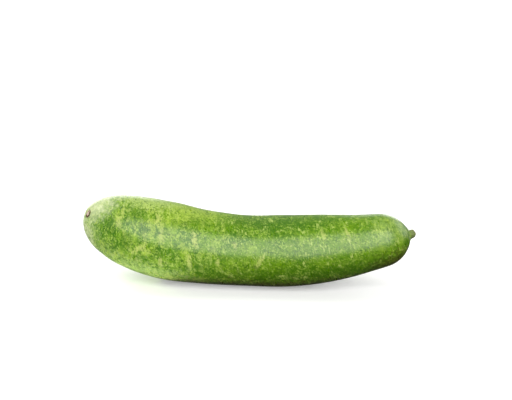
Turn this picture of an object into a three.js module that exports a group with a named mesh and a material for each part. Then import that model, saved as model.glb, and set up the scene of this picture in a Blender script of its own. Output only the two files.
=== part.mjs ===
// A bottle gourd as picked: one bent green fruit, the cut stub of the stem that it hung by, and
// the corky scar where its flower dropped off. It lies on its belly with both ends curving up.
// Millimetres, +Z up. The origin lies in the flat spot that the fruit rests on, right under its
// weight, and +X runs along the fruit from the blossom end to the stem end.
import * as THREE from "three";

// The line that the fruit grew along, from tip to tip, as a cubic Bezier curve.
const BLOSSOM_TIP = [-155.4, -8, 73];
const BLOSSOM_HANDLE = [-118.8, 13, 49.4];
const STEM_HANDLE = [-8.7, -13, 11.8];
const STEM_TIP = [179.8, 6, 57.4];

// Radius of the flesh at every eighth of that line, before the ends are rounded off.
const RADII = [23, 36.5, 40.8, 38.7, 37, 37.6, 35.4, 30, 25.2];

// Each end is rounded over this length, by a superellipse of this power.
const BLOSSOM_CAP = { length: 25, power: 2.25 };
const STEM_CAP = { length: 26, power: 2 };

// The belly is pressed flat below z = 0, and eases into the flat over this height.
const GROUND_EASE = 0.9;

// How far the section strays from a true circle, as shares of its radius.
const STRAY = { oval: 0.008, flats: 0.005, lumps: 0.004 };

// A shallow pit at each end holds the scar and the stem. The radius is that of the piece in it.
// The skin puckers in round the scar, and swells into a low collar round the stem.
const SCAR_PIT = { radius: 4, depth: 1.2, swell: -1.1, reach: 8 };
const STEM_PIT = { radius: 5.6, depth: 1.2, swell: 1.6, reach: 11 };

// A hairline of air lies between a piece and the pit that it sits in.
const GAP = 0.3;

// The scar's lip stands out of its pit, round a hollow with a low boss in the middle.
const SCAR = { lip: 0.7, hollow: 0.95, boss: 0.5 };

// The stub of the stem: ridged, cut off, bent away from the fruit's own line, with a soft pith.
const STEM = {
  length: 6,
  radius: 4.3,
  ridges: 5,
  ridgeShare: 0.1,
  bend: THREE.MathUtils.degToRad(38),
  cutSlant: THREE.MathUtils.degToRad(-8),
  cutBevel: 0.4,
  pithRadius: 1.4,
  pithDepth: 0.7,
};

// How finely the surfaces are cut into faces.
const FRUIT_SIDES = 60;
const CAP_RINGS = 12;
const BODY_RINGS = 32;
const STEM_SIDES = 40;
const STEM_RINGS = 9;
const SCAR_SIDES = 30;

const UP = new THREE.Vector3(0, 0, 1);
const Y_AXIS = new THREE.Vector3(0, 1, 0);
const TURN = 2 * Math.PI;

const axis = new THREE.CubicBezierCurve3(
  new THREE.Vector3(...BLOSSOM_TIP),
  new THREE.Vector3(...BLOSSOM_HANDLE),
  new THREE.Vector3(...STEM_HANDLE),
  new THREE.Vector3(...STEM_TIP),
);
axis.arcLengthDivisions = 600;
const AXIS_LENGTH = axis.getLength();

const girth = new THREE.SplineCurve(RADII.map((radius, i) => new THREE.Vector2(i, radius)));

// Radius of the flesh at a length along the axis, without the rounding of the ends.
function fleshRadius(along) {
  return girth.getPoint(THREE.MathUtils.clamp(along / AXIS_LENGTH, 0, 1)).y;
}

// The cross-section at a length along the axis: its centre, the way it faces, and two directions in it.
function sectionAt(along) {
  const inside = THREE.MathUtils.clamp(along, 0, AXIS_LENGTH);
  const facing = axis.getTangentAt(inside / AXIS_LENGTH);
  const centre = axis.getPointAt(inside / AXIS_LENGTH).addScaledVector(facing, along - inside);
  const side = new THREE.Vector3().crossVectors(facing, UP).normalize();
  const top = new THREE.Vector3().crossVectors(side, facing);
  return { centre, facing, side, top };
}

// No fruit is a true circle in section: a slow swell and three faint flats run along it.
function unevenness(along, angle) {
  const share = along / AXIS_LENGTH;
  const oval = STRAY.oval * Math.cos(2 * angle + 0.5 + 0.8 * share);
  const flats = STRAY.flats * Math.cos(3 * angle - 1.9 + 4 * share);
  const lumps = STRAY.lumps * Math.sin(5 * angle + 1.3) * Math.sin(9 * share + 0.6);
  return 1 + oval + flats + lumps;
}

// Where a height ends up once the belly is pressed flat on the ground.
function pressed(z) {
  if (z <= -GROUND_EASE) return 0;
  if (z >= GROUND_EASE) return z;
  return (z + GROUND_EASE) ** 2 / (4 * GROUND_EASE);
}

// One ring of the fruit's surface.
function fruitRing(along, radius, uneven = true) {
  const { centre, side, top } = sectionAt(along);
  return Array.from({ length: FRUIT_SIDES }, (_, i) => {
    const angle = (TURN * i) / FRUIT_SIDES;
    const reach = uneven ? radius * unevenness(along, angle) : radius;
    const point = centre
      .clone()
      .addScaledVector(side, reach * Math.cos(angle))
      .addScaledVector(top, reach * Math.sin(angle));
    point.z = pressed(point.z);
    return point;
  });
}

// A closed surface over rings that all have the same number of points, with one point at each end.
function surfaceOver(start, rings, end) {
  const sides = rings[0].length;
  const points = [start, ...rings.flat(), end];
  const last = points.length - 1;
  const index = (ring, i) => 1 + ring * sides + (i % sides);
  const faces = [];
  for (let i = 0; i < sides; i++) {
    faces.push(0, index(0, i), index(0, i + 1));
    for (let ring = 0; ring < rings.length - 1; ring++) {
      const [a, b] = [index(ring, i), index(ring, i + 1)];
      const [c, d] = [index(ring + 1, i + 1), index(ring + 1, i)];
      faces.push(a, d, c, a, c, b);
    }
    faces.push(last, index(rings.length - 1, i + 1), index(rings.length - 1, i));
  }
  const geometry = new THREE.BufferGeometry().setFromPoints(points);
  geometry.setIndex(faces);
  geometry.computeVertexNormals();
  return geometry;
}

// A rounded end, as rings from the rim of its pit outwards, and where the floor of the pit lies.
// Depths are counted in from the tip, and lengthAt turns one into a length along the axis.
function roundedEnd(cap, pit, lengthAt) {
  const pitRadius = pit.radius + GAP;
  const first = Math.asin(pitRadius / fleshRadius(lengthAt(0)));
  const rings = Array.from({ length: CAP_RINGS }, (_, i) => {
    const share = Math.sin(first + ((Math.PI / 2 - first) * i) / (CAP_RINGS - 1));
    const roundedOff = cap.length * (1 - (1 - share ** cap.power) ** (1 / cap.power));
    const radius = share * fleshRadius(lengthAt(roundedOff));
    const swell = pit.swell * Math.exp(-((radius / pit.reach) ** 2));
    return { depth: roundedOff - swell, radius };
  });
  return {
    pitRadius,
    floor: lengthAt(rings[0].depth + pit.depth),
    rings: rings.map(({ depth, radius }) => ({ along: lengthAt(depth), radius })),
  };
}

const blossomEnd = roundedEnd(BLOSSOM_CAP, SCAR_PIT, (depth) => depth);
const stemEnd = roundedEnd(STEM_CAP, STEM_PIT, (depth) => AXIS_LENGTH - depth);

function makeFruit() {
  const pit = ({ floor, pitRadius }) => [
    fruitRing(floor, pitRadius / 2, false),
    fruitRing(floor, pitRadius, false),
  ];
  const skin = ({ along, radius }) => fruitRing(along, radius);

  const bodyLength = AXIS_LENGTH - BLOSSOM_CAP.length - STEM_CAP.length;
  const body = Array.from({ length: BODY_RINGS - 1 }, (_, i) => {
    const along = BLOSSOM_CAP.length + (bodyLength * (i + 1)) / BODY_RINGS;
    return fruitRing(along, fleshRadius(along));
  });

  const rings = [
    ...pit(blossomEnd),
    ...blossomEnd.rings.map(skin),
    ...body,
    ...stemEnd.rings.map(skin).reverse(),
    ...pit(stemEnd).reverse(),
  ];
  return surfaceOver(sectionAt(blossomEnd.floor).centre, rings, sectionAt(stemEnd.floor).centre);
}

// The scar is a low ring of cork, sunk in its pit, with a small boss where the style stood.
// Its outline goes out along the floor, up the side, over the lip and into the hollow.
function makeScar() {
  const lip = SCAR_PIT.depth + SCAR.lip;
  const outline = [
    [0, GAP],
    [0.86, GAP],
    [1, 2 * GAP],
    [0.99, SCAR_PIT.depth],
    [0.9, lip - 0.1],
    [0.78, lip],
    [0.62, lip - SCAR.hollow / 4],
    [0.46, lip - SCAR.hollow],
    [0.28, lip - SCAR.hollow],
    [0.18, lip - SCAR.hollow + 0.8 * SCAR.boss],
    [0, lip - SCAR.hollow + SCAR.boss],
  ];
  const points = outline.map(([share, height]) => new THREE.Vector2(share * SCAR_PIT.radius, height));
  return new THREE.LatheGeometry(points, SCAR_SIDES);
}

// One ring of the stem, which leaves its pit along +Y and bends towards +X.
function stemRing(height, radius, ridged, slant) {
  const bendRadius = (STEM.length - STEM_PIT.depth) / STEM.bend;
  const turned = Math.max(0, height - STEM_PIT.depth) / bendRadius;
  const centre = new THREE.Vector3(
    bendRadius * (1 - Math.cos(turned)),
    Math.min(height, STEM_PIT.depth) + bendRadius * Math.sin(turned),
    0,
  );
  const across = new THREE.Vector3(Math.cos(turned + slant), -Math.sin(turned + slant), 0);
  const depthwise = new THREE.Vector3(0, 0, 1);
  return Array.from({ length: STEM_SIDES }, (_, i) => {
    const angle = (TURN * i) / STEM_SIDES;
    const reach = radius * (1 + ridged * STEM.ridgeShare * Math.cos(STEM.ridges * angle));
    return centre
      .clone()
      .addScaledVector(across, reach * Math.cos(angle))
      .addScaledVector(depthwise, reach * Math.sin(angle));
  });
}

function middleOf(points) {
  return points.reduce((sum, point) => sum.add(point), new THREE.Vector3()).divideScalar(points.length);
}

// The foot of the stem fills its pit, and the ridges rise out of its flare. The cut has a soft pith.
function makeStem() {
  const foot = [stemRing(GAP, STEM_PIT.radius - GAP, 0, 0), stemRing(2 * GAP, STEM_PIT.radius, 0, 0)];
  const shaft = Array.from({ length: STEM_RINGS }, (_, i) => {
    const share = i / (STEM_RINGS - 1);
    const height = STEM_PIT.depth + share * (STEM.length - STEM_PIT.depth - STEM.cutBevel);
    const flare = (STEM_PIT.radius - STEM.radius) * Math.exp(-5 * share);
    const ridged = 1 - Math.exp(-6 * share);
    return stemRing(height, STEM.radius + flare, ridged, STEM.cutSlant * share);
  });
  const pith = stemRing(STEM.length - STEM.pithDepth, STEM.pithRadius, 0, STEM.cutSlant);
  const cut = [
    stemRing(STEM.length, STEM.radius - STEM.cutBevel, 1, STEM.cutSlant),
    stemRing(STEM.length, STEM.pithRadius + STEM.cutBevel, 0, STEM.cutSlant),
    pith,
  ];
  return surfaceOver(new THREE.Vector3(0, GAP, 0), [...foot, ...shaft, ...cut], middleOf(pith));
}

function madeOf(name, geometry, color, roughness) {
  const mesh = new THREE.Mesh(geometry, new THREE.MeshStandardMaterial({ color, roughness, metalness: 0 }));
  mesh.name = name;
  return mesh;
}

const fruit = madeOf("fruit", makeFruit(), 0x6fa33c, 0.42);

// The scar stands on the floor of its pit and looks out along the blossom end.
const scar = madeOf("blossom_scar", makeScar(), 0x7a5a3a, 0.85);
const scarSeat = sectionAt(blossomEnd.floor);
scar.position.copy(scarSeat.centre);
scar.quaternion.setFromUnitVectors(Y_AXIS, scarSeat.facing.clone().negate());

// The stem stands on the floor of its pit, and its bend is turned to the back, level with the ground.
const stem = madeOf("stem", makeStem(), 0x7c8c54, 0.7);
const stemSeat = sectionAt(stemEnd.floor);
const bendTo = stemSeat.side.clone().negate();
const third = new THREE.Vector3().crossVectors(bendTo, stemSeat.facing);
stem.position.copy(stemSeat.centre);
stem.quaternion.setFromRotationMatrix(new THREE.Matrix4().makeBasis(bendTo, stemSeat.facing, third));

const gourd = new THREE.Group();
gourd.name = "bottle_gourd";
gourd.add(fruit, scar, stem);

export default gourd;
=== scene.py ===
# %% [markdown]
# # A bottle gourd
#
# This lesson dresses a finished construction of a bottle gourd: a long green fruit, the cut stub
# of its stem, and the corky scar that its flower left. The construction gives every size and
# place, and the lesson adds what the eye looks for: living skin, dried cork and woody fibre.
#
# The construction comes first and stays as it is. Each new piece is fitted to it, so nothing has
# to be measured twice.

# %% Load the construction
import math

import bmesh
import bpy
import numpy as np
from mathutils import Matrix, Vector, geometry


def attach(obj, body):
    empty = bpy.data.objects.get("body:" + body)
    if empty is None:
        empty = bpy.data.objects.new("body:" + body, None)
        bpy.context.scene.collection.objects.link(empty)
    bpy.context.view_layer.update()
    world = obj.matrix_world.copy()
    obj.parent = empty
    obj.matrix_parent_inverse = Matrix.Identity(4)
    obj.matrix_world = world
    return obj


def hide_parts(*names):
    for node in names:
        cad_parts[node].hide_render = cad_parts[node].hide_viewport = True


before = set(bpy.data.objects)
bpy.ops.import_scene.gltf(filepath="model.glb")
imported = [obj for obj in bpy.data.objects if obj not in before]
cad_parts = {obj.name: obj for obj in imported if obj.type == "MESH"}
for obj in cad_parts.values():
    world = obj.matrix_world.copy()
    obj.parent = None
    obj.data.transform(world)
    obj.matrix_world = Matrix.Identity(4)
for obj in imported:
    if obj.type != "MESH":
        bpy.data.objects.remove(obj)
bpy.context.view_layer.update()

MM = 0.001
print("nodes:", sorted(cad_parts))

# %% [markdown]
# ## The camera
#
# The photograph looks a little down on the gourd, from about a metre away, with a short
# telephoto lens. A camera could be aimed by a Track To constraint, but that leaves no control
# over its roll. Here it stands in front of the fruit's middle and is tipped by three turns: down
# towards the ground, slightly to the right, and slightly over to one side, because the real fruit
# was propped up at its thick end.

# %% Place the camera
LENS = 70
STAND_OFF = 1.047
LOOKED_AT_HEIGHT = 35 * MM
ELEVATION = math.radians(20)
TIPPED_DOWN = math.radians(17.05)
TURNED_RIGHT = math.radians(0.99)
ROLLED = math.radians(2.05)
# A camera that isn't turned looks straight down, and this turn makes it look level.
LEVEL = math.radians(90)

camera = bpy.data.objects.new("camera", bpy.data.cameras.new("camera"))
camera.data.lens = LENS
bpy.context.scene.collection.objects.link(camera)
camera.matrix_world = (
    Matrix.Translation((
        0,
        -STAND_OFF * math.cos(ELEVATION),
        LOOKED_AT_HEIGHT + STAND_OFF * math.sin(ELEVATION),
    ))
    @ Matrix.Rotation(LEVEL - TIPPED_DOWN, 4, "X")
    @ Matrix.Rotation(-TURNED_RIGHT, 4, "Y")
    @ Matrix.Rotation(ROLLED, 4, "Z")
)
bpy.context.scene.camera = camera
print("camera at", [round(value, 3) for value in camera.matrix_world.translation])

# %% [markdown]
# ## The body of the fruit
#
# The body is one smooth, slightly uneven tube with rounded ends. It could be lofted anew, but the
# construction already has it, cut into coarse faces. So a copy of that mesh is taken, its loose
# triangles are merged into one skin, and two levels of subdivision round it. The construction's
# own mesh stays as it was.

# %% Copy the body
def edit(piece):
    """Makes a piece the only selected one and opens it for editing."""
    if bpy.context.object and bpy.context.object.mode == "EDIT":
        bpy.ops.object.mode_set(mode="OBJECT")
    bpy.ops.object.select_all(action="DESELECT")
    piece.select_set(True)
    bpy.context.view_layer.objects.active = piece
    bpy.ops.object.mode_set(mode="EDIT")


skin = bpy.data.objects.new("fruit_skin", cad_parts["fruit"].data.copy())
bpy.context.scene.collection.objects.link(skin)
edit(skin)
bpy.ops.mesh.select_all(action="SELECT")
bpy.ops.mesh.remove_doubles(threshold=0.001 * MM)
bpy.ops.mesh.tris_convert_to_quads()
bpy.ops.object.mode_set(mode="OBJECT")
print("coarse skin:", len(skin.data.vertices), "vertices")

# %% Round it
ROUNDING_LEVELS = 2


def round_off(piece):
    """Gives a piece the Subdivision Surface modifier that all the pieces here share."""
    rounding = piece.modifiers.new("rounding", "SUBSURF")
    rounding.levels = rounding.render_levels = ROUNDING_LEVELS


def finish_modifiers(piece):
    """Applies a piece's modifiers in their order."""
    bpy.context.view_layer.objects.active = piece
    for modifier in list(piece.modifiers):
        bpy.ops.object.modifier_apply(modifier=modifier.name)


round_off(skin)
finish_modifiers(skin)
print("skin faces after rounding:", len(skin.data.polygons))

# %% [markdown]
# ## Slow swells and dents
#
# No grown thing is as even as a lathe would make it. Swells could be sculpted by hand, but then
# they would be different each time. Two Displace modifiers with clouded textures do it instead:
# one for slow swells a few centimetres long, one for the faint dents that a thumb would feel. A
# vertex group keeps both away from the spot that the fruit rests on, which stays flat.

# %% Let it swell unevenly
FREE_HEIGHT = 12 * MM
# Each swell has its texture's name, the size of its clouds and its height.
SWELLS = [("slow_swells", 38 * MM, 0.9 * MM), ("thumb_dents", 9 * MM, 0.16 * MM)]


def add_clouded_swell(piece, name, size, height, level):
    """Displaces a piece by a texture of clouds. Below the level it sinks in, above it swells."""
    texture = bpy.data.textures.new(name, "CLOUDS")
    texture.noise_scale = size
    swelling = piece.modifiers.new(name, "DISPLACE")
    swelling.texture = texture
    swelling.strength = height
    swelling.mid_level = level
    return swelling


def vertex_places(piece):
    """The places of a piece's vertices, one row each."""
    places = np.empty(len(piece.data.vertices) * 3)
    piece.data.vertices.foreach_get("co", places)
    return places.reshape(-1, 3)


lies_free = skin.vertex_groups.new(name="lies_free")
for vertex in skin.data.vertices:
    lies_free.add([vertex.index], min(1, max(0, vertex.co.z / FREE_HEIGHT)), "REPLACE")
for name, size, height in SWELLS:
    add_clouded_swell(skin, name, size, height, level=0.5).vertex_group = lies_free.name
finish_modifiers(skin)
bpy.ops.object.shade_smooth()
skin_low, skin_high = vertex_places(skin).min(0), vertex_places(skin).max(0)
print("skin box in mm:", (skin_low / MM).round(1), (skin_high / MM).round(1))

# %% [markdown]
# ## The line that the fruit grew along
#
# A gourd's markings follow its growth: they run round it, at right angles to its own bent line.
# Object coordinates would lay them straight across instead, and a UV map would pinch at both
# ends. So each point of the skin is told how far along that line it lies and which way it looks
# out. The line is the same Bezier curve that the construction uses, in metres.

# %% Sample the growth line
LINE_SAMPLES = 500
GROWTH_LINE = [
    Vector(point) * MM
    for point in ((-155.4, -8, 73), (-118.8, 13, 49.4), (-8.7, -13, 11.8), (179.8, 6, 57.4))
]
line = np.array(geometry.interpolate_bezier(*GROWTH_LINE, LINE_SAMPLES))
steps = np.linalg.norm(np.diff(line, axis=0), axis=1)
line_length = np.concatenate([[0], np.cumsum(steps)])
line_facing = np.gradient(line, axis=0)
line_facing /= np.linalg.norm(line_facing, axis=1)[:, None]
print(f"the growth line is {line_length[-1] / MM:.1f} mm long")

# %% Tell the skin how it grew
# The markings lean a little from the square, by this much along the line for each step upwards.
LEAN = 0.22


def straightened(points):
    """Where points would lie if the fruit were straight: along the line, sideways and upwards."""
    nearest = np.array([np.argmin(((line - point) ** 2).sum(1)) for point in points])
    facing = line_facing[nearest]
    offset = points - line[nearest]
    side = np.cross(facing, (0, 0, 1))
    side /= np.linalg.norm(side, axis=1)[:, None]
    top = np.cross(side, facing)
    along_line = line_length[nearest] + (offset * facing).sum(1)
    return np.stack([along_line, (offset * side).sum(1), (offset * top).sum(1)], axis=1)


grown_places = straightened(vertex_places(skin))
grown_places[:, 0] += LEAN * grown_places[:, 2]
grown = skin.data.attributes.new("grown", "FLOAT_VECTOR", "POINT")
grown.data.foreach_set("vector", grown_places.astype(np.float32).ravel())
print("straightened skin, mm:", (np.ptp(grown_places, axis=0) / MM).round(1))

# %% [markdown]
# ## Helpers for materials
#
# Colours are written as sRGB hex values, as they are picked from a swatch, and one function turns
# them to the linear values that the renderer works in. A second small function adds a node, sets
# its properties, and fills its inputs with values or with other nodes' outputs. Materials could
# be clicked together in the node editor as well, but written down they can be read and repeated.

# %% Turn a swatch to linear
def linear(hex_colour):
    """The linear red, green, blue and alpha of an sRGB hex colour such as "#5f9a2c"."""
    channels = [int(hex_colour[i:i + 2], 16) / 255 for i in (1, 3, 5)]
    return [c / 12.92 if c <= 0.04045 else ((c + 0.055) / 1.055) ** 2.4 for c in channels] + [1]


print("the sRGB grey #808080 is", round(linear("#808080")[0], 3), "of full light")

# %% Start the skin's material
def add_node(tree, kind, inputs, **settings):
    """Adds a node. Inputs are named or numbered, and hold a value or another node's output."""
    made = tree.nodes.new(kind)
    for name, value in settings.items():
        setattr(made, name, value)
    for key, value in inputs.items():
        if isinstance(value, bpy.types.NodeSocket):
            tree.links.new(value, made.inputs[key])
        else:
            made.inputs[key].default_value = value
    return made


def new_material(name):
    """An empty material, with its node tree and its surface shader."""
    material = bpy.data.materials.new(name)
    material.use_nodes = True
    return material, material.node_tree, material.node_tree.nodes["Principled BSDF"]


# Living skin under thin wax gives the eye a soft, broad shine over a deep, uneven green.
waxy_skin, tree, shader = new_material("waxy_gourd_skin")
grown_at = add_node(tree, "ShaderNodeAttribute", {}, attribute_name="grown").outputs["Vector"]
print("new material:", waxy_skin.name)

# %% [markdown]
# ## Clouds and mottle
#
# The green of the skin is never even. Under everything lie clouds of darker and paler green, and
# in them a mottle of crumbs and blotches, dense near the blossom end and faint near the stem. An
# image texture could hold all that, but it would have to be painted and wrapped. Noise needs
# neither: in straightened coordinates it is stretched more or less round the fruit, so one loop
# over a table makes every marking. Each gathers in clumps where a second, coarser noise is high.

# %% Stretch noise round the fruit
# Each seed shifts its noise by this much, so that no two markings fall together.
NOISE_SHIFT = 7.3
# The noise bends its own grain a little, so that nothing looks combed.
NOISE_WARP = 0.6


def stretched_noise(length, breadth, seed, detail=3.0):
    """Noise on the skin whose grain is so many mm long along the fruit and broad round it."""
    stretched = add_node(
        tree, "ShaderNodeMapping",
        {
            "Vector": grown_at,
            "Location": [seed * NOISE_SHIFT] * 3,
            "Scale": [1 / (length * MM), 1 / (breadth * MM), 1 / (breadth * MM)],
        },
    )
    return add_node(
        tree, "ShaderNodeTexNoise",
        {"Vector": stretched.outputs[0], "Scale": 1, "Detail": detail, "Distortion": NOISE_WARP},
    ).outputs[0]


# This fine noise tears the edges of all the patches further down.
tear = stretched_noise(3, 4, seed=20)
print("nodes so far:", len(tree.nodes))

# %% Ease from the blossom's look to the stem's
BLOSSOM_LOOK_ENDS = 60 * MM
STEM_LOOK_BEGINS = 210 * MM
along = add_node(tree, "ShaderNodeSeparateXYZ", {0: grown_at}).outputs["X"]
towards_stem = add_node(
    tree, "ShaderNodeMapRange",
    {"Value": along, "From Min": BLOSSOM_LOOK_ENDS, "From Max": STEM_LOOK_BEGINS},
    interpolation_type="SMOOTHSTEP",
).outputs["Result"]
print(f"the look changes over {(STEM_LOOK_BEGINS - BLOSSOM_LOOK_ENDS) / MM:.0f} mm of growth")

# %% Lay markings over a colour
# A Mix node set to colours has its factor and two colours at these inputs, and its result here.
FACTOR, COLOUR_A, COLOUR_B, MIXED = 0, 6, 7, 2
# Clumps are this many times as large as the marking that gathers in them.
GATHERING_SIZE = 4


def with_markings(below, markings):
    """Lays markings over a colour, each where its noise is high enough."""
    for name, paint, length, breadth, begins, full, gathers, at_blossom, at_stem, seed in markings:
        clumps = stretched_noise(GATHERING_SIZE * length, GATHERING_SIZE * length, -seed, detail=1)
        gathered = add_node(
            tree, "ShaderNodeMath",
            {0: clumps, 1: gathers, 2: stretched_noise(length, breadth, seed)},
            operation="MULTIPLY_ADD", label=name,
        )
        strength = add_node(
            tree, "ShaderNodeMapRange",
            {"Value": towards_stem, "To Min": at_blossom, "To Max": at_stem},
        )
        shown = add_node(
            tree, "ShaderNodeMapRange",
            {
                "Value": gathered.outputs[0],
                "From Min": begins + gathers / 2,
                "From Max": full + gathers / 2,
                "To Max": strength.outputs[0],
            },
            interpolation_type="SMOOTHSTEP",
        )
        below = add_node(
            tree, "ShaderNodeMix",
            {FACTOR: shown.outputs[0], COLOUR_A: below, COLOUR_B: linear(paint)},
            data_type="RGBA",
        ).outputs[MIXED]
    return below


# Each marking has its colour, its size along the fruit and round it in mm, where the noise begins
# to show and where it shows in full, how much it gathers in clumps, its strength near the blossom
# and near the stem, and a seed.
SKIN_CLOUDS = [
    ("dark clouds", "#437004", 24, 30, 0.44, 0.64, 0.0, 0.85, 0.7, 1),
    ("pale clouds", "#8aaa2e", 14, 18, 0.50, 0.72, 0.2, 0.7, 0.2, 2),
    ("dark mottle", "#3d6c04", 6.5, 5.5, 0.45, 0.64, 0.5, 0.9, 0.4, 3),
    ("pale mottle", "#9ab23c", 5, 5.5, 0.51, 0.69, 0.5, 0.6, 0.25, 4),
    ("blotches", "#a9b95c", 7, 9, 0.58, 0.70, 0.3, 0.55, 0.1, 5),
]
SKIN_GROUND = "#5e8707"
colour = add_node(tree, "ShaderNodeRGB", {}).outputs[0]
colour.default_value = linear(SKIN_GROUND)
colour = with_markings(colour, SKIN_CLOUDS)
print(len(SKIN_CLOUDS), "kinds of clouds and mottle,", len(tree.nodes), "nodes")

# %% [markdown]
# ## Patches that stand out
#
# Noise alone looks the same everywhere, and a real fruit doesn't. A few larger patches are placed
# on the side that the camera sees: darker spots near the blossom end, paler ones where it was
# rubbed, and where the young skin is still yellow. Others are painted shade, deeper green along the
# top and the lower front and olive brown on the belly and under the thin end, and painted light,
# pale green on the top and the underside of the thick end and high on the thin end. They could be
# painted on the vertices, but the mesh is too coarse for their ragged edges. So each is an oval
# round a point on the skin, and one noise tears the edges of all of them. They lie under the fine
# flecks, which break them up further.

# %% Lay patches over a colour
PATCH_DEPTH = 22 * MM
# The noise moves an edge by up to this many times the patch's reach.
TEARING = 3.2
# A patch is full within the first of these shares of its reach, and gone at the second.
PATCH_FULL, PATCH_GONE = 0.3, 1.3


def with_patches(below, patches):
    """Lays patches over a colour, each an oval whose edge the noise has torn."""
    for paint, middle, length, breadth, turn, strength in patches:
        patch_at = add_node(
            tree, "ShaderNodeMapping",
            {
                "Vector": grown_at,
                "Location": Vector(middle) * MM,
                "Rotation": (0, math.radians(turn), 0),
                "Scale": (length * MM, PATCH_DEPTH, breadth * MM),
            },
            vector_type="TEXTURE",
        ).outputs[0]
        distance = add_node(
            tree, "ShaderNodeVectorMath", {0: patch_at}, operation="LENGTH"
        ).outputs["Value"]
        torn = add_node(
            tree, "ShaderNodeMath", {0: tear, 1: TEARING, 2: distance}, operation="MULTIPLY_ADD"
        ).outputs[0]
        within = add_node(
            tree, "ShaderNodeMapRange",
            {
                "Value": torn,
                "From Min": TEARING / 2 + PATCH_FULL,
                "From Max": TEARING / 2 + PATCH_GONE,
                "To Min": strength,
                "To Max": 0,
            },
            interpolation_type="SMOOTHSTEP",
        ).outputs[0]
        below = add_node(
            tree, "ShaderNodeMix",
            {FACTOR: within, COLOUR_A: below, COLOUR_B: linear(paint)},
            data_type="RGBA",
        ).outputs[MIXED]
    return below


print(f"a patch reaches {PATCH_DEPTH / MM:.0f} mm into the fruit")

# %% Place the patches
# The olive is painted shade and the light green is painted light. The deep green is the skin's own in
# some patches and painted shade in others.
DEEP, PALE, YELLOW, SHADE_OLIVE = "#376402", "#b6bf68", "#b0c654", "#4c480c"
PAINTED_LIGHT_GREEN, CREAM = "#abc070", "#c8d09a"

# Each patch has its colour, the point of the straightened skin that it lies round in mm, its reach
# along the fruit and round it in mm, its turn in degrees, and its strength.
SKIN_PATCHES = [
    (DEEP, (23, 29, 5), 14, 13, 0, 0.95),
    (DEEP, (48, 38, 2), 9, 7, 0, 0.7),
    (DEEP, (83, 41, 1), 8, 7, 0, 0.7),
    (DEEP, (64, 34, 18), 10, 7, 0, 0.7),
    (PALE, (33, 29, 14), 4.5, 5, 0, 0.6),
    (PALE, (37, 25, 22), 2, 5, 0, 0.6),
    (PALE, (80, 25, 31), 4, 5, 0, 0.65),
    (PALE, (86, 37, 17), 3.6, 8, 0, 0.5),
    (PALE, (122, 35, 18), 3.4, 8, 0, 0.7),
    (PALE, (63, 40, -1), 3, 10, 50, 0.65),
    (PALE, (85, 39, -10), 3, 6, 0, 0.7),
    (PALE, (115, 39, -5), 2.8, 8, 0, 0.7),
    (PALE, (144, 38, -2), 2.4, 5, 0, 0.6),
    (PALE, (164, 34, 16), 2.2, 4, 0, 0.6),
    (PALE, (185, 37, 0), 2.6, 10, 40, 0.65),
    (PALE, (257, 26, 24), 2.2, 7, 0, 0.6),
    (PALE, (282, 25, 22), 1.8, 7, 0, 0.6),
    (YELLOW, (98, 6, 38), 62, 15, 0, 0.55),
    (YELLOW, (153, 21, 31), 2.4, 8, 0, 0.7),
    (YELLOW, (141, 5, 38), 6, 5, 0, 0.5),
    # Painted shade: a deeper green along the top and along the lower front.
    (DEEP, (200, 12, 34), 55, 14, 0, 0.8),
    (DEEP, (210, 33, -16), 105, 12, 0, 0.7),
    # Painted shade: olive brown on the belly and under the thin end.
    (SHADE_OLIVE, (190, 20, -34), 105, 14, 0, 0.9),
    (SHADE_OLIVE, (320, 20, -18), 28, 14, 0, 0.9),
    # Painted light: pale green on the top and the underside of the thick end, and high on the thin
    # end.
    (PAINTED_LIGHT_GREEN, (54, 2, 38), 44, 12, 0, 0.6),
    (PAINTED_LIGHT_GREEN, (5, 12, -16), 10, 16, 0, 0.4),
    (PAINTED_LIGHT_GREEN, (70, 30, -26), 54, 12, 0, 0.4),
    (PAINTED_LIGHT_GREEN, (328, 20, 20), 24, 17, 0, 0.3),
    (CREAM, (3, 7, -16), 5, 13, -38, 0.5),
]
colour = with_patches(colour, SKIN_PATCHES)
print(len(SKIN_PATCHES), "patches,", len(tree.nodes), "nodes")

# %% [markdown]
# ## Grain, dashes and painted shade
#
# Over the patches lies what is finest: a grain of dark and pale specks all over, and pale dashes
# and wisps that run round the fruit and thicken towards the stem. There are far too many to place
# one by one, so the function that laid the clouds lays them too. Last comes a little painted shade
# that dulls the flecks as well: olive brown on the belly and under the thin end, and deeper green
# along the top and the lower front.

# %% Lay on the flecks and the painted shade
# Real grain is a third of a millimetre across, too fine to show, so it is drawn coarser here.
SKIN_FLECKS = [
    ("dark grain", "#355d02", 1.9, 1.9, 0.46, 0.70, 0.2, 0.9, 0.85, 6),
    ("pale grain", "#a2bc50", 1.7, 1.8, 0.50, 0.70, 0.3, 0.7, 0.65, 7),
    ("dashes", "#afc264", 1.9, 5.5, 0.62, 0.80, 0.8, 0.2, 0.7, 8),
    ("long wisps", "#a9c05c", 2.6, 12, 0.62, 0.82, 0.5, 0.1, 0.5, 9),
]
# Painted shade over the flecks: olive brown on the belly and under the thin end, and deeper green
# along the top and the lower front.
SKIN_PAINTED_SHADE = [
    (SHADE_OLIVE, (200, 20, -37), 110, 11, 0, 0.65),
    (SHADE_OLIVE, (320, 20, -20), 26, 10, 0, 0.5),
    (DEEP, (235, 12, 34), 45, 9, 0, 0.3),
    (DEEP, (285, 26, -13), 45, 10, 0, 0.4),
]
colour = with_markings(colour, SKIN_FLECKS)
colour = with_patches(colour, SKIN_PAINTED_SHADE)
print(len(SKIN_FLECKS), "kinds of flecks and", len(SKIN_PAINTED_SHADE), "stains")

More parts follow.
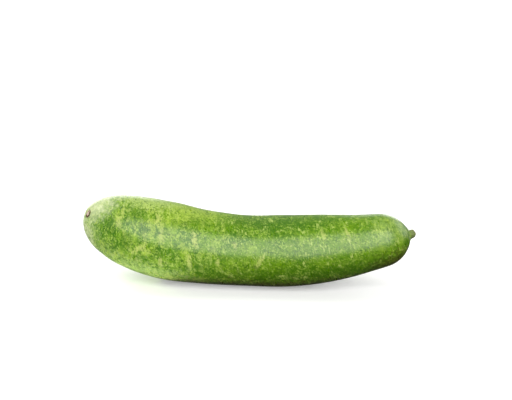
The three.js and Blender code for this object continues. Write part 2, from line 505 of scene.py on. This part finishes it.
# %% [markdown]
# ## The pale blossom end
#
# Round the scar the skin pales to cream, as the tips of such fruits often do. A plain ramp along
# the fruit would end in a ring as neat as paint, so two noises push its edge to and fro, a coarse
# one and the fine one that tears the patches. The ramp is tilted, so that the cream reaches
# further along the upper side than the lower, and that pale top of the thick end is painted light.

# %% Pale the blossom end
BLOSSOM_CREAM = "#d2d8a6"
CREAM_STRENGTH = 0.75
# The tilt carries the cream along the upper side as painted light.
CREAM_TILT = (1, 0, -0.8)
CREAM_LOBES = 24 * MM
CREAM_FRAY = 26 * MM
CREAM_FULL, CREAM_GONE = 12 * MM, 40 * MM

from_upper_tip = add_node(
    tree, "ShaderNodeVectorMath", {0: grown_at, 1: CREAM_TILT}, operation="DOT_PRODUCT"
).outputs["Value"]
lobed_edge = add_node(
    tree, "ShaderNodeMath",
    {0: stretched_noise(7, 7, seed=10), 1: CREAM_LOBES, 2: from_upper_tip},
    operation="MULTIPLY_ADD",
).outputs[0]
frayed_edge = add_node(
    tree, "ShaderNodeMath", {0: tear, 1: CREAM_FRAY, 2: lobed_edge}, operation="MULTIPLY_ADD"
).outputs[0]
creamy = add_node(
    tree, "ShaderNodeMapRange",
    {
        "Value": frayed_edge,
        "From Min": CREAM_FULL,
        "From Max": CREAM_GONE,
        "To Min": CREAM_STRENGTH,
        "To Max": 0,
    },
    interpolation_type="SMOOTHSTEP",
).outputs[0]
colour = add_node(
    tree, "ShaderNodeMix",
    {FACTOR: creamy, COLOUR_A: colour, COLOUR_B: linear(BLOSSOM_CREAM)},
    data_type="RGBA",
).outputs[MIXED]
print("the skin's colour takes", len(tree.nodes), "nodes")

# %% [markdown]
# ## Wax, ripples and pores
#
# Thin wax makes the skin shine softly, a little duller in one place than in the next, and a fine
# down pales its outline. The surface itself has faint ripples round the fruit and pores all over.
# They could be displaced for real, but at a tenth of a millimetre that would take millions of
# faces, and the eye only meets them in how they break up the shine. Two Bump nodes are enough.

# %% Wax the skin
RIPPLE_DEPTH, PORE_DEPTH = 0.25 * MM, 0.16 * MM
SHINIEST_WAX, DULLEST_WAX = 0.26, 0.36
# Most of what a noise gives lies between these two values.
NOISE_LOW, NOISE_HIGH = 0.3, 0.7

ripples = stretched_noise(2.2, 14, seed=11, detail=2)
# Real pores are a few tenths of a millimetre wide, and are drawn coarser so that they show.
pores = stretched_noise(1.5, 1.5, seed=12, detail=2)
rippled = add_node(
    tree, "ShaderNodeBump", {"Strength": 0.2, "Distance": RIPPLE_DEPTH, "Height": ripples}
)
relief = add_node(
    tree, "ShaderNodeBump",
    {"Strength": 0.4, "Distance": PORE_DEPTH, "Height": pores, "Normal": rippled.outputs[0]},
)
wax = add_node(
    tree, "ShaderNodeMapRange",
    {
        "Value": ripples,
        "From Min": NOISE_LOW,
        "From Max": NOISE_HIGH,
        "To Min": SHINIEST_WAX,
        "To Max": DULLEST_WAX,
    },
)
print(f"ripples {RIPPLE_DEPTH / MM:.2f} mm deep and pores {PORE_DEPTH / MM:.2f} mm")

# %% Finish the skin
tree.links.new(colour, shader.inputs["Base Color"])
tree.links.new(wax.outputs[0], shader.inputs["Roughness"])
tree.links.new(relief.outputs[0], shader.inputs["Normal"])
# Wax bends light almost as glass does, and the fine down adds the faintest sheen.
shader.inputs["IOR"].default_value = 1.5
shader.inputs["Sheen Weight"].default_value = 0.02
shader.inputs["Sheen Roughness"].default_value = 0.4
shader.inputs["Sheen Tint"].default_value = linear("#f2f5e4")
skin.data.materials.clear()
skin.data.materials.append(waxy_skin)

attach(skin, "root")
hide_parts("fruit")
print("skin finished:", len(skin.data.polygons), "faces")

# %% [markdown]
# ## The blossom scar
#
# Where the flower dropped off, the fruit healed with cork: a low crumbly ring round a hollow, and
# in its middle a boss where the style stood. It is round work, so it could be spun from an
# outline. Here a filled circle is extruded ring by ring instead, because that closes the form
# underneath as well, and each ring can be read off as a radius and a height. Its seat isn't
# written down a second time: it is measured on the underside of the construction's own scar.

# %% Find where the scar is seated
FOOT_HEIGHT = 1 * MM
# Faces of the underside look down at least this squarely, as the cosine of their tilt.
SQUARELY_DOWN = 0.97


def seat_of(node, roughly_facing):
    """Where a node stands on the fruit, as a matrix with Z outwards, and its radius and height."""
    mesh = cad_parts[node].data
    underside = [face for face in mesh.polygons if face.normal.dot(roughly_facing) < -SQUARELY_DOWN]
    area = sum(face.area for face in underside)
    facing = -sum((face.normal * face.area for face in underside), Vector()) / area
    foot = sum((face.center * face.area for face in underside), Vector()) / area
    facing.normalize()
    side = facing.cross((0, 0, 1)).normalized()
    beside = vertex_places(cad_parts[node]) - np.array(foot)
    heights = beside @ np.array(facing)
    reach = np.linalg.norm(beside - np.outer(heights, facing), axis=1)
    seat = Matrix((side, facing.cross(side), facing)).transposed().to_4x4()
    seat.translation = foot
    return seat, reach[heights < FOOT_HEIGHT].max(), heights.max()


scar_seat, scar_radius, scar_height = seat_of("blossom_scar", Vector(-line_facing[0]))
print(f"scar: {2 * scar_radius / MM:.1f} mm across and {scar_height / MM:.1f} mm high")

# %% Raise the scar ring by ring
def raise_rings(name, rings, sides):
    """A closed form standing on the ground, from its rings' radii and heights."""
    bpy.ops.object.select_all(action="DESELECT")
    radius, height = rings[0]
    bpy.ops.mesh.primitive_circle_add(
        vertices=sides, radius=radius, fill_type="NGON", location=(0, 0, height)
    )
    piece = bpy.context.object
    piece.name = name
    bpy.ops.object.transform_apply(location=True)
    bpy.ops.object.mode_set(mode="EDIT")
    bpy.ops.mesh.select_all(action="SELECT")
    for next_radius, next_height in rings[1:]:
        bpy.ops.mesh.extrude_region_move(
            TRANSFORM_OT_translate={"value": (0, 0, next_height - height)}
        )
        bpy.ops.transform.resize(value=[next_radius / radius] * 2 + [1])
        radius, height = next_radius, next_height
    # Poke turns the top face to a fan of triangles, which rounds evenly.
    bpy.ops.mesh.poke()
    bpy.ops.mesh.select_all(action="SELECT")
    bpy.ops.mesh.normals_make_consistent(inside=False)
    bpy.ops.object.mode_set(mode="OBJECT")
    return piece


# Each ring's radius and height are shares of the scar's own, from its foot up over the lip, down
# into the hollow and up onto the boss.
SCAR_SIDES = 48
SCAR_HOLLOW = 0.3
SCAR_RINGS = [
    (0.86, 0.02), (0.99, 0.16), (1.01, 0.48), (0.99, 0.62), (0.92, 0.78), (0.83, 0.88),
    (0.73, 0.84), (0.65, 0.66), (0.58, SCAR_HOLLOW + 0.04), (0.40, SCAR_HOLLOW),
    (0.24, SCAR_HOLLOW + 0.06), (0.14, SCAR_HOLLOW + 0.16), (0.06, SCAR_HOLLOW + 0.2),
]
scar = raise_rings(
    "blossom_scar_cork",
    [(share * scar_radius, rise * scar_height) for share, rise in SCAR_RINGS],
    SCAR_SIDES,
)
print("scar before rounding:", len(scar.data.polygons), "faces")

# %% Crumble and seat the scar
# A level above a half takes more away than it adds, as wear does.
SCAR_WORN_LEVEL = 0.6
SCAR_CRUMBLING = [("ragged_edge", 1.6 * MM, 1.5 * MM), ("crumbs", 0.5 * MM, 0.5 * MM)]


def keep_as_made(piece):
    """Notes each vertex's place before the piece is bent and seated, for its material to read."""
    as_made = piece.data.attributes.new("as_made", "FLOAT_VECTOR", "POINT")
    as_made.data.foreach_set("vector", vertex_places(piece).astype(np.float32).ravel())


def seat_piece(piece, seat):
    """Puts a piece on its seat, with its place in its mesh."""
    piece.matrix_world = seat
    bpy.ops.object.select_all(action="DESELECT")
    piece.select_set(True)
    bpy.context.view_layer.objects.active = piece
    bpy.ops.object.transform_apply(location=True, rotation=True, scale=True)
    bpy.ops.object.shade_smooth()


round_off(scar)
for name, size, height in SCAR_CRUMBLING:
    add_clouded_swell(scar, name, size, height, SCAR_WORN_LEVEL)
finish_modifiers(scar)
keep_as_made(scar)
seat_piece(scar, scar_seat)
print("scar:", len(scar.data.polygons), "faces, at", (vertex_places(scar).mean(0) / MM).round(1), "mm")

# %% [markdown]
# ## The finish of the scar
#
# Dried cork is dull and crumbly, and nothing on it shines. Its ring is dark brown and reaches
# furthest in on the low side, where the brown is painted shade, and the hollow is a pale pinkish
# tan. Two materials on two sets of faces would meet in a hard edge. One material that mixes two
# browns by the distance from the middle blends them, and the low side counts as further out, which
# paints the shade there.

# %% Measure the scar's surface
# The brown ring is pushed in towards this side as painted shade.
SHADED_SIDE = Vector((-0.8, 0.7, 0))
SHADED_SIDE_WEIGHT = 0.42
HOLLOW_ENDS, RING_BEGINS = 0.46, 0.82

# Dried cork gives the eye a dull, broken surface of warm browns.
dry_cork, tree, shader = new_material("dry_scar_cork")
made_at = add_node(tree, "ShaderNodeAttribute", {}, attribute_name="as_made").outputs["Vector"]
flat_at = add_node(
    tree, "ShaderNodeVectorMath", {0: made_at, 1: (1, 1, 0)}, operation="MULTIPLY"
).outputs[0]
from_middle = add_node(
    tree, "ShaderNodeVectorMath", {0: flat_at}, operation="LENGTH"
).outputs["Value"]
toward_shade = add_node(
    tree, "ShaderNodeVectorMath", {0: made_at, 1: SHADED_SIDE}, operation="DOT_PRODUCT"
).outputs["Value"]
ring_edge = add_node(
    tree, "ShaderNodeMath", {0: toward_shade, 1: SHADED_SIDE_WEIGHT, 2: from_middle},
    operation="MULTIPLY_ADD",
).outputs[0]
in_ring = add_node(
    tree, "ShaderNodeMapRange",
    {
        "Value": ring_edge,
        "From Min": HOLLOW_ENDS * scar_radius,
        "From Max": RING_BEGINS * scar_radius,
    },
    interpolation_type="SMOOTHSTEP",
).outputs[0]
print(f"the hollow ends {HOLLOW_ENDS * scar_radius / MM:.1f} mm from the middle")

# %% Colour the cork
# Cork's own cells are far too small to show, so its crumbs are drawn coarser than they are.
CRUMB_SIZE = 0.8 * MM

crumb_noise = add_node(
    tree, "ShaderNodeTexNoise", {"Vector": made_at, "Scale": 1 / CRUMB_SIZE, "Detail": 4}
).outputs[0]
hollow_tan = add_node(
    tree, "ShaderNodeMix",
    {FACTOR: crumb_noise, COLOUR_A: linear("#978571"), COLOUR_B: linear("#ddcdb9")},
    data_type="RGBA",
).outputs[MIXED]
ring_brown = add_node(
    tree, "ShaderNodeMix",
    {FACTOR: crumb_noise, COLOUR_A: linear("#382b1c"), COLOUR_B: linear("#7e6c53")},
    data_type="RGBA",
).outputs[MIXED]
cork_colour = add_node(
    tree, "ShaderNodeMix",
    {FACTOR: in_ring, COLOUR_A: hollow_tan, COLOUR_B: ring_brown},
    data_type="RGBA",
).outputs[MIXED]
print(f"cork crumbs are {CRUMB_SIZE / MM:.1f} mm across")

# %% Finish the scar
CRUMB_DEPTH = 0.2 * MM

crumbled = add_node(
    tree, "ShaderNodeBump", {"Strength": 0.5, "Distance": CRUMB_DEPTH, "Height": crumb_noise}
)
tree.links.new(cork_colour, shader.inputs["Base Color"])
tree.links.new(crumbled.outputs[0], shader.inputs["Normal"])
shader.inputs["Roughness"].default_value = 0.85
shader.inputs["Specular IOR Level"].default_value = 0.25
scar.data.materials.append(dry_cork)

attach(scar, "root")
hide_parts("blossom_scar")
print("scar finished:", dry_cork.name)

# %% [markdown]
# ## The stem
#
# The stub of the fruit stalk has five soft ridges, spreads like a trumpet where it joins the
# fruit, and was cut off short. A curve with a bevel could make it, but not the ridges or the
# spread. So it is raised straight, ring by ring, like the scar. The rim of its spread lies a
# little under the skin, which hides the joint.

# %% Raise the straight stub
STEM_LENGTH = 5.7 * MM
STEM_RADIUS = 4.3 * MM
STEM_SIDES = 40
CUT_BEVEL = 0.4 * MM
PITH_RADIUS = 1.4 * MM
PITH_DEPTH = 0.7 * MM
PITH_FLOOR_RADIUS = 0.6 * PITH_RADIUS
SPREAD_RADIUS = 7.2 * MM
SPREAD_HEIGHT = 0.4 * MM
SPREAD_FADE = 0.9 * MM
SUNK_RADIUS = 7.7 * MM
SUNK_DEPTH = 0.35 * MM
SHAFT_STEPS = 9
# Steps are closest together at the foot, where the spread is steepest.
STEP_CROWDING = 1.5


def shaft_ring(step):
    """The radius and height of a ring of the shaft, which spreads at its foot like a trumpet."""
    shaft = STEM_LENGTH - CUT_BEVEL - SPREAD_HEIGHT
    height = SPREAD_HEIGHT + shaft * (step / SHAFT_STEPS) ** STEP_CROWDING
    spread = (SPREAD_RADIUS - STEM_RADIUS) * math.exp((SPREAD_HEIGHT - height) / SPREAD_FADE)
    return STEM_RADIUS + spread, height


stem_seat, stem_foot_radius, _ = seat_of("stem", Vector(line_facing[-1]))
stem_rings = [(stem_foot_radius, 0), (SUNK_RADIUS, -SUNK_DEPTH)]
stem_rings += [shaft_ring(step) for step in range(SHAFT_STEPS + 1)]
stem_rings += [
    (STEM_RADIUS - CUT_BEVEL, STEM_LENGTH),
    (PITH_RADIUS + CUT_BEVEL, STEM_LENGTH),
    (PITH_RADIUS, STEM_LENGTH - PITH_DEPTH / 2),
    (PITH_FLOOR_RADIUS, STEM_LENGTH - PITH_DEPTH),
]
stem = raise_rings("cut_stem", stem_rings, STEM_SIDES)
print(f"stem: foot {2 * stem_foot_radius / MM:.1f} mm across, {len(stem_rings)} rings")

# %% [markdown]
# ## The ridges
#
# Five soft ridges run up the stalk and a little way out into the fruit. They could be pulled out
# edge by edge. A Displace modifier without a texture does it at once: it pushes each vertex out
# as far as its weight says, and the weight is a wave round the axis. The cut face gets none.

# %% Push out its ridges
RIDGES = 5
RIDGE_HEIGHT = 0.9 * MM
RIDGES_GROW_OVER = 2 * MM
LEAST_RIDGED = 0.7
# The weight rises from the first of these shares of the radius, over the second.
CUT_SHARE, RIM_SHARE = 0.6, 0.3

ridged = stem.vertex_groups.new(name="ridged")
for vertex in stem.data.vertices:
    from_axis = math.hypot(vertex.co.x, vertex.co.y) / STEM_RADIUS
    above_foot = min(1, max(LEAST_RIDGED, vertex.co.z / RIDGES_GROW_OVER))
    outside = min(1, max(0, (from_axis - CUT_SHARE) / RIM_SHARE))
    wave = 0.5 + 0.5 * math.cos(RIDGES * math.atan2(vertex.co.y, vertex.co.x))
    ridged.add([vertex.index], wave * above_foot * outside, "REPLACE")
ridging = stem.modifiers.new("ridges", "DISPLACE")
ridging.strength = RIDGE_HEIGHT
ridging.mid_level = 0.5
ridging.vertex_group = ridged.name
round_off(stem)
finish_modifiers(stem)
keep_as_made(stem)
print("stem:", RIDGES, "ridges,", len(stem.data.polygons), "faces")

# %% [markdown]
# ## The bend
#
# The stalk leans away from the fruit's own line. A Simple Deform modifier could bend it, but its
# axis and limits are hard to set right. Here the stub is bent as a hand would bend it, from the
# top down: each step turns all that lies above it a little further, so that the turning points
# stay on the straight part. Its places from before the bend are kept for its material.

# %% Bend it and seat it
STEM_BEND = math.radians(38)
BEND_STEPS = 12
BEND_BEGINS = 1.2 * MM

edit(stem)
straight_heights = vertex_places(stem)[:, 2]
for step in range(BEND_STEPS, 0, -1):
    bend_height = BEND_BEGINS + (STEM_LENGTH - BEND_BEGINS) * step / (BEND_STEPS + 1)
    mesh = bmesh.from_edit_mesh(stem.data)
    for vertex in mesh.verts:
        vertex.select = bool(straight_heights[vertex.index] > bend_height)
    mesh.select_flush_mode()
    bpy.ops.transform.rotate(
        value=STEM_BEND / BEND_STEPS, orient_axis="Y", center_override=(0, 0, bend_height)
    )
bpy.ops.object.mode_set(mode="OBJECT")
seat_piece(stem, stem_seat)
print("stem seated at", (vertex_places(stem).mean(0) / MM).round(1), "mm")

# %% [markdown]
# ## The finish of the stem
#
# Young stalk is fibrous, grey-green and dull, with strands along it. The cut has dried to tan
# round its sunken pith, and the foot turns into the skin of the fruit, so it takes on its mottled
# green and its wax. Three materials would show their borders. One material mixes the three
# colours by height instead. It reads the places that the stub had before it was bent, so the
# strands follow the bend.

# %% Draw the strands
# Strands are a tenth of a millimetre across, and are drawn half a millimetre wide to show.
STRAND_WIDTH, STRAND_LENGTH = 0.5 * MM, 5 * MM
# A strand is all dark below the first of these values of its noise, and all pale above the second.
STRAND_DARK, STRAND_PALE = 0.35, 0.65

# Woody fibre gives the eye fine lines along the stalk, and hardly any shine.
stalk_fibre, tree, shader = new_material("green_stalk_fibre")
made_at = add_node(tree, "ShaderNodeAttribute", {}, attribute_name="as_made").outputs["Vector"]
stalk_height = add_node(tree, "ShaderNodeSeparateXYZ", {0: made_at}).outputs["Z"]
strands_at = add_node(
    tree, "ShaderNodeMapping",
    {"Vector": made_at, "Scale": [1 / STRAND_WIDTH, 1 / STRAND_WIDTH, 1 / STRAND_LENGTH]},
)
strands = add_node(
    tree, "ShaderNodeTexNoise", {"Vector": strands_at.outputs[0], "Scale": 1, "Detail": 3}
).outputs[0]
strand_tone = add_node(
    tree, "ShaderNodeMapRange",
    {"Value": strands, "From Min": STRAND_DARK, "From Max": STRAND_PALE},
).outputs[0]
stalk_green = add_node(
    tree, "ShaderNodeMix",
    {FACTOR: strand_tone, COLOUR_A: linear("#435120"), COLOUR_B: linear("#82914f")},
    data_type="RGBA",
).outputs[MIXED]
print(f"strands {STRAND_WIDTH / MM:.1f} mm wide and {STRAND_LENGTH / MM:.0f} mm long")

# %% Dry the cut
CUT_DRIED_FROM, CUT_DRIED_AT = STEM_LENGTH - 0.9 * MM, STEM_LENGTH - 0.3 * MM

cut_tan = add_node(
    tree, "ShaderNodeMix",
    {FACTOR: strand_tone, COLOUR_A: linear("#5f4b2c"), COLOUR_B: linear("#a48f62")},
    data_type="RGBA",
).outputs[MIXED]
at_cut = add_node(
    tree, "ShaderNodeMapRange",
    {"Value": stalk_height, "From Min": CUT_DRIED_FROM, "From Max": CUT_DRIED_AT},
).outputs[0]
stalk_colour = add_node(
    tree, "ShaderNodeMix",
    {FACTOR: at_cut, COLOUR_A: stalk_green, COLOUR_B: cut_tan},
    data_type="RGBA",
).outputs[MIXED]
print(f"the cut has dried {(STEM_LENGTH - CUT_DRIED_FROM) / MM:.1f} mm deep")

# %% Green the foot
FOOT_MOTTLE_SIZE = 2.4 * MM
FOOT_DARK, FOOT_PALE = 0.4, 0.6
FOOT_TEARING = 1.6 * MM
FOOT_GREEN_TO, FOOT_GONE_AT = 1.5 * MM, 3.2 * MM
FOOT_STRENGTH = 0.95

torn_height = add_node(
    tree, "ShaderNodeMath", {0: strands, 1: FOOT_TEARING, 2: stalk_height}, operation="MULTIPLY_ADD"
).outputs[0]
at_foot = add_node(
    tree, "ShaderNodeMapRange",
    {
        "Value": torn_height,
        "From Min": FOOT_GREEN_TO,
        "From Max": FOOT_GONE_AT,
        "To Min": FOOT_STRENGTH,
        "To Max": 0,
    },
    interpolation_type="SMOOTHSTEP",
).outputs[0]
foot_mottle = add_node(
    tree, "ShaderNodeTexNoise", {"Vector": made_at, "Scale": 1 / FOOT_MOTTLE_SIZE, "Detail": 3}
).outputs[0]
foot_tone = add_node(
    tree, "ShaderNodeMapRange",
    {"Value": foot_mottle, "From Min": FOOT_DARK, "From Max": FOOT_PALE},
).outputs[0]
foot_green = add_node(
    tree, "ShaderNodeMix",
    {FACTOR: foot_tone, COLOUR_A: linear("#406b08"), COLOUR_B: linear("#86a53a")},
    data_type="RGBA",
).outputs[MIXED]
greened_foot = add_node(
    tree, "ShaderNodeMix",
    {FACTOR: at_foot, COLOUR_A: stalk_colour, COLOUR_B: foot_green},
    data_type="RGBA",
).outputs[MIXED]
print(f"the skin's green fades out {FOOT_GONE_AT / MM:.1f} mm up the stalk at most")

# %% Finish the stem
FIBRE_ROUGHNESS, WAXED_ROUGHNESS = 0.65, 0.35
GROOVE_DEPTH = 0.15 * MM

waxed_foot = add_node(
    tree, "ShaderNodeMapRange",
    {"Value": at_foot, "To Min": FIBRE_ROUGHNESS, "To Max": WAXED_ROUGHNESS},
)
grooves = add_node(
    tree, "ShaderNodeBump", {"Strength": 0.5, "Distance": GROOVE_DEPTH, "Height": strands}
)
tree.links.new(greened_foot, shader.inputs["Base Color"])
tree.links.new(waxed_foot.outputs[0], shader.inputs["Roughness"])
tree.links.new(grooves.outputs[0], shader.inputs["Normal"])
shader.inputs["Sheen Weight"].default_value = 0.05
stem.data.materials.append(stalk_fibre)

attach(stem, "root")
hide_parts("stem")
print("stem finished:", stalk_fibre.name)

# %% [markdown]
# ## The floor
#
# The photograph was taken in a white studio, where the ground shows no edge. A curved sheet of
# paper is the usual way to get that. A large flat floor that glows a little does the same from
# every side. It shows in the picture and takes the fruit's shadow, but it is hidden from
# diffuse and glossy rays, so it sends no light up, and the belly stays as dark as it is in the
# photograph.

# %% Lay the floor
FLOOR_SIZE = 24

bpy.ops.object.select_all(action="DESELECT")
bpy.ops.mesh.primitive_plane_add(size=FLOOR_SIZE)
floor = bpy.context.object
floor.name = "floor"
floor.visible_diffuse = False
floor.visible_glossy = False
print("floor:", FLOOR_SIZE, "m wide")

# %% Make its paper glow
# The paper glows least under the fruit, so that the shadow shows, and fully further out.
GLOW_UNDER_FRUIT = 0.25
GLOW_RISES_FROM, GLOW_FULL_AT = 0.3, 1.6

# Matte paper gives the eye nothing but a soft shadow.
paper, tree, shader = new_material("matte_white_paper")
shader.inputs["Base Color"].default_value = linear("#e6e6e4")
shader.inputs["Roughness"].default_value = 0.9
shader.inputs["Specular IOR Level"].default_value = 0.1
shader.inputs["Emission Color"].default_value = linear("#ffffff")
paper_at = add_node(tree, "ShaderNodeTexCoord", {}).outputs["Object"]
far_out = add_node(tree, "ShaderNodeVectorMath", {0: paper_at}, operation="LENGTH").outputs["Value"]
glow = add_node(
    tree, "ShaderNodeMapRange",
    {
        "Value": far_out,
        "From Min": GLOW_RISES_FROM,
        "From Max": GLOW_FULL_AT,
        "To Min": GLOW_UNDER_FRUIT,
        "To Max": 1,
    },
    interpolation_type="SMOOTHSTEP",
)
tree.links.new(glow.outputs[0], shader.inputs["Emission Strength"])
floor.data.materials.append(paper)
print(f"the glow is full from {GLOW_FULL_AT} m out")

# %% [markdown]
# ## The lights
#
# A veil of soft light lies along the fruit: the reflection of a very large soft light in front and
# above. One even panel would end in a hard line in the wax, so two of different sizes overlap, and
# their sum falls off in steps too soft to see. Panels behind the fruit light its back, and low
# cards lie on the floor and lift the shade. Some of these only fill, and are kept out of the shine.

# %% Hang the lights
# Each light has its place, the point that it looks at, its width and height, its radiance, and
# whether it shows in the shine of the wax.
SOFT_LIGHTS = [
    ("front_softbox", (0.24, -1.08, 0.74), (0.05, 0, 0.04), 1.7, 1.5, 2.4, True),
    ("front_glow", (0.36, -1.12, 0.79), (0.05, 0, 0.04), 2.5, 1.7, 1.5, True),
    ("high_left", (-0.62, 0.35, 0.90), (-0.05, 0, 0.07), 0.8, 1.0, 4.2, False),
    ("back_left_panel", (-0.42, 0.90, 0.28), (-0.12, 0, 0.07), 0.7, 0.68, 2.4, True),
    ("right_panel", (0.85, 0.40, 0.42), (0.15, 0, 0.05), 0.8, 0.68, 1.8, True),
    ("back_right_panel", (0.42, 0.90, 0.28), (0.15, 0, 0.07), 0.4, 0.56, 3.0, True),
    ("left_card", (-0.30, 0, 0.002), (-0.30, 0, 1), 0.44, 0.5, 1.2, False),
    ("front_card", (-0.17, -0.17, 0.002), (-0.17, -0.17, 1), 0.34, 0.36, 1.4, False),
    ("back_left_card", (-0.25, 0.60, 0.002), (-0.25, 0.60, 1), 0.56, 0.8, 1.5, True),
    ("back_right_card", (0.36, 0.60, 0.002), (0.36, 0.60, 1), 0.45, 0.8, 2.0, True),
]
for name, place, looked_at, width, height, radiance, shines in SOFT_LIGHTS:
    light = bpy.data.lights.new(name, "AREA")
    light.shape = "ELLIPSE"
    light.size, light.size_y = width, height
    # A flat light's power is its radiance times pi times its area, here that of an ellipse.
    light.energy = radiance * math.pi * (math.pi / 4 * width * height)
    lamp = bpy.data.objects.new(name, light)
    lamp.location = place
    lamp.rotation_euler = (Vector(place) - Vector(looked_at)).to_track_quat("Z", "Y").to_euler()
    lamp.visible_camera = False
    lamp.visible_glossy = shines
    bpy.context.scene.collection.objects.link(lamp)
print(len(SOFT_LIGHTS), "soft lights")

# %% [markdown]
# ## The light all round
#
# White walls send back a little light from everywhere, most from the bright side of the room
# beyond the thick end. Walls could be built, but a World with a smooth gradient costs nothing and
# reflects just as softly. The Standard view shows the colours as they are set.

# %% Light the studio all round
BRIGHTEST_TOWARDS = Vector((-0.9, 0.35, 0.25)).normalized()
DIMMEST, BRIGHTEST = 0.03, 0.7
# The light is full wherever the direction agrees with the brightest one this closely.
FULL_FROM = 0.9

world = bpy.data.worlds.new("studio")
bpy.context.scene.world = world
world.use_nodes = True
tree = world.node_tree
direction = add_node(tree, "ShaderNodeTexCoord", {}).outputs["Generated"]
agreement = add_node(
    tree, "ShaderNodeVectorMath", {0: direction, 1: BRIGHTEST_TOWARDS}, operation="DOT_PRODUCT"
).outputs["Value"]
brightness = add_node(
    tree, "ShaderNodeMapRange",
    {
        "Value": agreement,
        "From Min": 0,
        "From Max": FULL_FROM,
        "To Min": DIMMEST,
        "To Max": BRIGHTEST,
    },
    interpolation_type="SMOOTHSTEP",
)
tree.links.new(brightness.outputs[0], tree.nodes["Background"].inputs["Strength"])
tree.nodes["Background"].inputs["Color"].default_value = linear("#ffffff")
bpy.context.scene.view_settings.view_transform = "Standard"
print(f"the walls give {DIMMEST} to {BRIGHTEST} of white")

# %% [markdown]
# ## The size
#
# The dressed gourd has to fill the same box as its construction, so its box is printed.

# %% Write the sizes and finish
dressed = np.concatenate([vertex_places(piece) for piece in (skin, scar, stem)])
print("dressed box in mm:", (dressed.min(0) / MM).round(1), (dressed.max(0) / MM).round(1))
